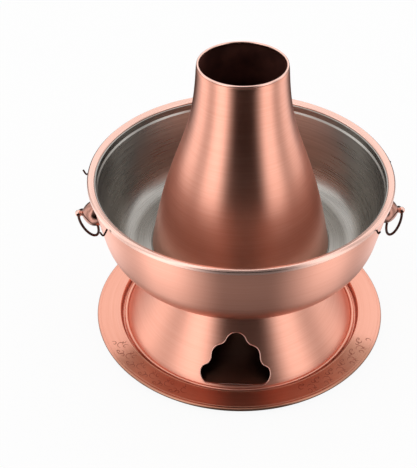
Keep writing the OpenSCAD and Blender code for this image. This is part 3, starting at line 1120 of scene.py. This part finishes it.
def make_hooks():
    tilt = math.atan(WALL_SLOPE)
    bm = bmesh.new()
    for angle, size in HOOKS:
        bent = [HOOK_ROOT]
        for x, z in HOOK_LINE:
            bent.append((HOOK_START[0] + size * x, HOOK_START[1] + size * z))
        line = [Vector((x * MM, 0, z * MM)) for x, z in smooth_line(bent, steps=10)]
        one = tube(line, HOOK_WIRE_R * MM, sides=16)
        place = (
            Matrix.Rotation(math.radians(angle), 4, "Z")
            @ Matrix.Translation(Vector((WALL_TOP[0] * MM, 0, WALL_TOP[1] * MM)))
            @ Matrix.Rotation(tilt, 4, "Y")
        )
        one.transform(place)
        mesh = bpy.data.meshes.new("one_hook")
        one.to_mesh(mesh)
        one.free()
        bm.from_mesh(mesh)
        bpy.data.meshes.remove(mesh)
    mesh = finish_mesh(bm, "wire_hooks")
    o = add_object("wire_hooks", mesh, "pot", [dark_wire])
    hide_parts("rim_hooks")


make_hooks()


# ---- Pieces that keep the frame's own shape -----------------------------------

KEPT = {
    "neck_ring": steel,
    "base_rivets": steel,
    "fire_sleeve": copper_inside,
    "grate_lugs": iron,
    "grate": iron,
    "handle_washers": steel,
    "handle_nuts": steel,
}
for node, material in KEPT.items():
    o = frame["nodes"][node]
    o.data.materials.clear()
    o.data.materials.append(material)


# ---- Floor, light and camera --------------------------------------------------


WHITE = (1, 1, 1, 1)

# Degrees round the pot. The angles of the lights are from the middle of the
# dark front, and each light fades between two angles from its own middle.
LIGHT_TURNS = (53.0, 104.0)
LIGHT_FADES = ((4, 24), (3, 24))
GAP_FADE = 12
LEFT_TO_RIGHT = 40
LEFT_LEVEL, RIGHT_LEVEL = 1.03, 0.86
BACK_FADE = (114, 148)


def studio_level(n, x, y, middle, gap, dark, behind, side=0.8, lights=(0.9, 0.6)):
    """How bright the studio is towards (x, y).

    It has the level dark ahead, for gap degrees each side of a line middle
    degrees to the right of the front. The sides have the level side, and two
    tall soft lights each that add their own. behind is the level behind."""
    turn = n.math("DEGREES", n.math("ARCTAN2", x, n.math("MULTIPLY", y, -1.0)))
    off = n.math("ABSOLUTE", n.math("SUBTRACT", turn, middle))
    level = n.smooth(off, gap - GAP_FADE, gap + GAP_FADE, dark, side)
    for light_turn, fade, strength in zip(LIGHT_TURNS, LIGHT_FADES, lights):
        away = n.math("ABSOLUTE", n.math("SUBTRACT", off, light_turn))
        level = n.math("ADD", level, n.smooth(away, *fade, strength, 0.0))
    across = n.smooth(turn, -LEFT_TO_RIGHT, LEFT_TO_RIGHT, LEFT_LEVEL, RIGHT_LEVEL)
    level = n.math("MULTIPLY", level, across)
    back = n.smooth(n.math("ABSOLUTE", turn), *BACK_FADE)
    return n.lerp(back, level, behind)


# Metres from the pot's axis
FLOOR_R = 6
FLOOR_SHADE = (0.165, 0.255)  # right at the tray it is in the bowl's shade
FLOOR_NEAR = (0.32, 0.48)  # inside this the table is never quite dark
FLOOR_SHADE_LEVEL = 0.12
FLOOR_GLOW = 0.93  # how much of the white that the camera sees is plain white


def make_floor():
    bm = bmesh.new()
    bmesh.ops.create_circle(bm, cap_ends=True, segments=96, radius=FLOOR_R)
    mesh = bpy.data.meshes.new("floor")
    bm.to_mesh(mesh)
    bm.free()
    o = link_object("floor", mesh)
    material = bpy.data.materials.new("floor")
    material.use_nodes = True
    n = Nodes(material.node_tree)
    position = n.add("ShaderNodeTexCoord").outputs["Object"]
    x, y, _ = n.add("ShaderNodeSeparateXYZ", inputs={0: position}).outputs
    squares = n.math("ADD", n.math("POWER", x, 2.0), n.math("POWER", y, 2.0))
    radius = n.math("SQRT", squares)
    near = studio_level(
        n, x, y, middle=2.0, gap=25, dark=0.39, behind=1.05, side=1.0, lights=(0.5, 0.3)
    )
    far = studio_level(n, x, y, middle=3.0, gap=29, dark=0.0, behind=0.02)
    level = n.lerp(n.smooth(radius, *FLOOR_NEAR), near, far)
    shade = n.smooth(radius, *FLOOR_SHADE, FLOOR_SHADE_LEVEL, 1.0)
    level = n.math("MULTIPLY", level, shade)
    pale = n.add("ShaderNodeBsdfDiffuse", inputs={0: (0.82, 0.82, 0.82, 1)})
    mirrored = n.add("ShaderNodeEmission", inputs={0: WHITE, 1: level})
    glow = n.add("ShaderNodeEmission", inputs={0: WHITE, 1: 1.0})
    path = n.add("ShaderNodeLightPath").outputs
    seen = n.math("MULTIPLY", path["Is Camera Ray"], FLOOR_GLOW)
    body = n.mix_shader(seen, pale, glow)
    mixed = n.mix_shader(path["Is Glossy Ray"], body, mirrored)
    n.add("ShaderNodeOutputMaterial", inputs={0: mixed.outputs[0]})
    mesh.materials.append(material)


def make_world():
    world = bpy.data.worlds.new("studio")
    bpy.context.scene.world = world
    world.use_nodes = True
    n = Nodes(world.node_tree)
    direction = n.add("ShaderNodeTexCoord").outputs["Generated"]
    x, y, z = n.add("ShaderNodeSeparateXYZ", inputs={0: direction}).outputs
    rise = n.math("DEGREES", n.math("ARCSINE", z))
    # Degrees up, between which each level goes from its first to its second
    middle = n.smooth(rise, 10, 45, 1.0, 9.5)
    dark = n.smooth(rise, 15, 45, 0.0, 0.23)
    behind = n.smooth(rise, -2, 16, 0.12, 1.2)
    above = n.smooth(rise, 62, 85, 0.0, 1.4)
    round_about = studio_level(n, x, y, middle, 33, dark, behind)
    level = n.math("MAXIMUM", round_about, above)
    lit = n.add("ShaderNodeBackground", inputs={0: WHITE, 1: level})
    white = n.add("ShaderNodeBackground", inputs={0: WHITE, 1: 1.0})
    camera_ray = n.add("ShaderNodeLightPath").outputs["Is Camera Ray"]
    mixed = n.mix_shader(camera_ray, lit, white)
    n.add("ShaderNodeOutputWorld", inputs={0: mixed.outputs[0]})


def make_camera():
    """The photograph's camera, from the circles of rim, mouth and tray.

    It stands a little to the left of the front, as the handles' line shows."""
    distance, height = 0.8914, 0.8176
    pitch, roll, turn = math.radians(38.40), math.radians(0.80), math.radians(2.25)
    width_px, height_px = 417, 468
    focal_px, centre_px = 1041.9, 240.5
    data = bpy.data.cameras.new("camera")
    data.sensor_fit = "AUTO"
    data.sensor_width = 36
    data.lens = focal_px / height_px * data.sensor_width
    data.shift_x = -(centre_px - width_px / 2) / height_px
    data.clip_start = 0.05
    data.clip_end = 50
    o = bpy.data.objects.new("camera", data)
    bpy.context.scene.collection.objects.link(o)
    ahead = Vector((math.sin(turn), math.cos(turn), 0))
    above = Vector((0, 0, 1))
    forward = math.cos(pitch) * ahead - math.sin(pitch) * above
    level_up = math.sin(pitch) * ahead + math.cos(pitch) * above
    level_right = forward.cross(level_up)
    right = math.cos(roll) * level_right + math.sin(roll) * level_up
    up = math.cos(roll) * level_up - math.sin(roll) * level_right
    rotation = Matrix((right, up, -forward)).transposed()
    place = Matrix.Translation(height * above - distance * ahead)
    o.matrix_world = place @ rotation.to_4x4()
    bpy.context.scene.camera = o


make_floor()
make_world()
make_camera()
bpy.context.scene.view_settings.view_transform = "Standard"
